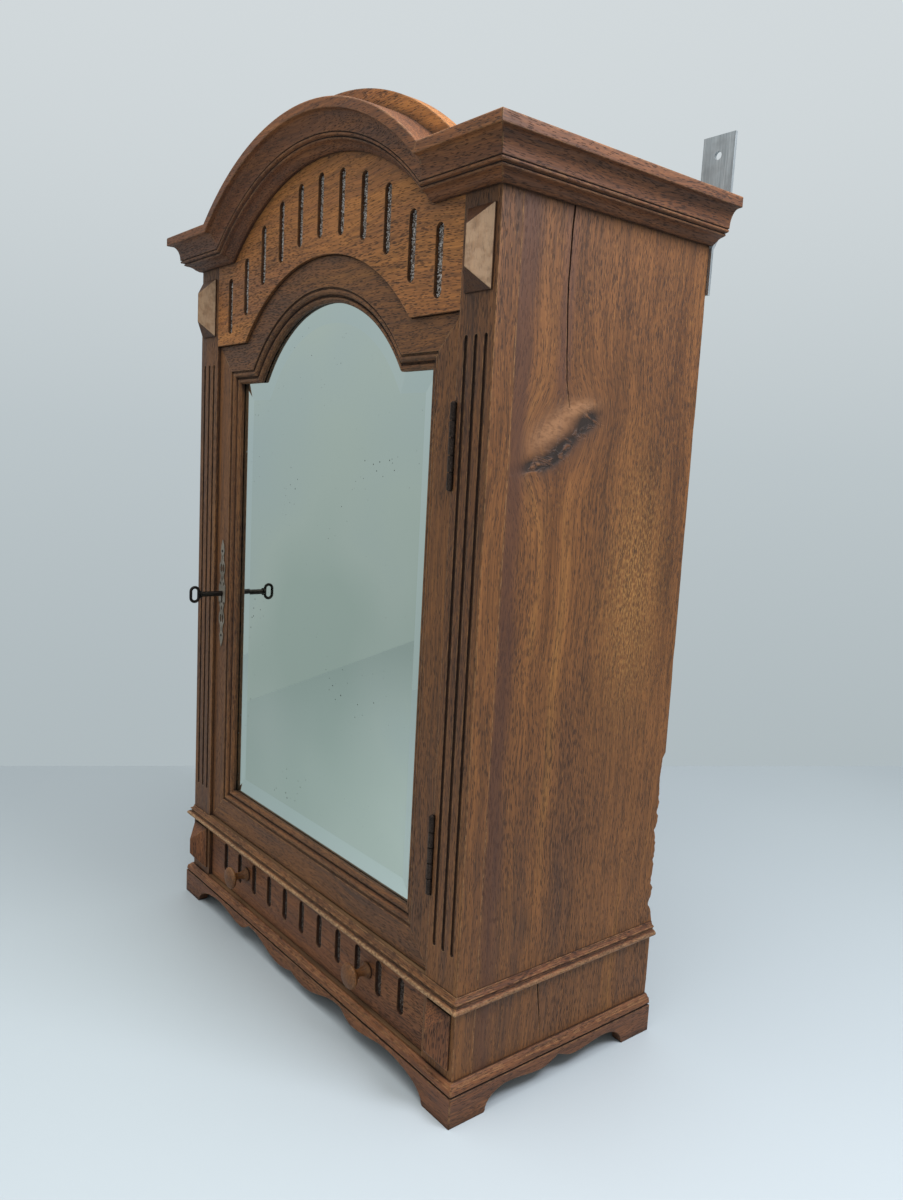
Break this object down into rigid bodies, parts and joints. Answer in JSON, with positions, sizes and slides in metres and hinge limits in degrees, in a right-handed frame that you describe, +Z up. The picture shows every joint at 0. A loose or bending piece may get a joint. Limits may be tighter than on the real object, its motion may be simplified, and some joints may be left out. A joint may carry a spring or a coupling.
{
  "type": "jewelry armoire",
  "caption": "Small jewelry armoire for a table top or wall, with an arched cornice, an arched mirror door with key lock, a fluted frieze and drawer, and a scalloped bracket plinth.",
  "frame": {"origin": "on the floor under the middle of the overall box", "axes": "+X to the viewer's right, +Y to the back, +Z up"},
  "size_m": [0.4256, 0.2246, 0.6398],
  "materials": {
    "case_walnut": "oiled, worn",
    "frieze_walnut": "oiled, worn",
    "cornice_walnut": "oiled, worn",
    "trim_walnut": "worn",
    "plinth_walnut": "oiled, worn",
    "inner_wood": "raw",
    "door_walnut": "oiled, worn",
    "drawer_walnut": "oiled, worn",
    "mirror": "aged silvering",
    "strap_steel": "galvanised",
    "aged_iron": "blackened",
    "escutcheon_metal": "patinated"
  },
  "bodies": {
    "carcass": {"left_post": "case_walnut", "right_post": "case_walnut", "left_side_panel": "case_walnut", "right_side_panel": "case_walnut", "back_boards": "inner_wood", "bottom_board": "inner_wood", "cabinet_floor": "inner_wood", "top_board": "cornice_walnut", "frieze_board": "frieze_walnut", "cornice_arch": "cornice_walnut", "cornice_front_left": "cornice_walnut", "cornice_front_right": "cornice_walnut", "cornice_return_left": "cornice_walnut", "cornice_return_right": "cornice_walnut", "waist_moulding_front": "trim_walnut", "waist_moulding_left": "trim_walnut", "waist_moulding_right": "trim_walnut", "base_moulding_front": "plinth_walnut", "base_moulding_left": "plinth_walnut", "base_moulding_right": "plinth_walnut", "front_apron": "plinth_walnut", "left_apron": "plinth_walnut", "right_apron": "plinth_walnut", "corner_glue_blocks": "inner_wood", "drawer_guides": "inner_wood", "lower_shelf": "inner_wood", "upper_shelf": "inner_wood", "shelf_cleats": "inner_wood", "upper_left_block": "trim_walnut", "upper_right_block": "trim_walnut", "lower_left_block": "trim_walnut", "lower_right_block": "trim_walnut", "left_hanging_strap": "strap_steel", "right_hanging_strap": "strap_steel", "strap_screws": "strap_steel", "strike_plate": "aged_iron", "hinge_frame_leaves": "aged_iron", "hinge_pins": "aged_iron", "hinge_frame_screws": "aged_iron"},
    "door": {"door_hinge_stile": "door_walnut", "door_lock_stile": "door_walnut", "door_arched_rail": "door_walnut", "door_bottom_rail": "door_walnut", "mirror_glass": "mirror", "mirror_backing": "inner_wood", "mirror_pins": "aged_iron", "hinge_door_leaves": "aged_iron", "hinge_door_screws": "aged_iron", "escutcheon": "escutcheon_metal", "escutcheon_pins": "aged_iron", "lock_case": "aged_iron"},
    "key": {"key": "aged_iron"},
    "bolt": {"lock_bolt": "aged_iron"},
    "drawer": {"drawer_front": "drawer_walnut", "drawer_left_side": "inner_wood", "drawer_right_side": "inner_wood", "drawer_back": "inner_wood", "drawer_bottom": "inner_wood", "drawer_knobs": "drawer_walnut"}
  },
  "joints": [
    {"name": "door_swing", "type": "hinge", "parent": "carcass", "child": "door", "pos_m": [0.15845, -0.08585, 0.285], "axis": [0, 0, 1], "range_deg": [0, 110]},
    {"name": "drawer_slide", "type": "slide", "parent": "carcass", "child": "drawer", "axis": [0, -1, 0], "range_m": [0, 0.12]},
    {"name": "key_turn", "type": "hinge", "parent": "door", "child": "key", "pos_m": [-0.1465, -0.08525, 0.2828], "axis": [0, 1, 0], "range_deg": [0, 90]},
    {"name": "bolt_slide", "type": "slide", "parent": "door", "child": "bolt", "axis": [-1, 0, 0], "range_m": [0, 0.006]}
  ],
  "couplings": [
    {"joint": "key_turn", "follows": "bolt_slide", "rad_per_m": 261.79}
  ]
}
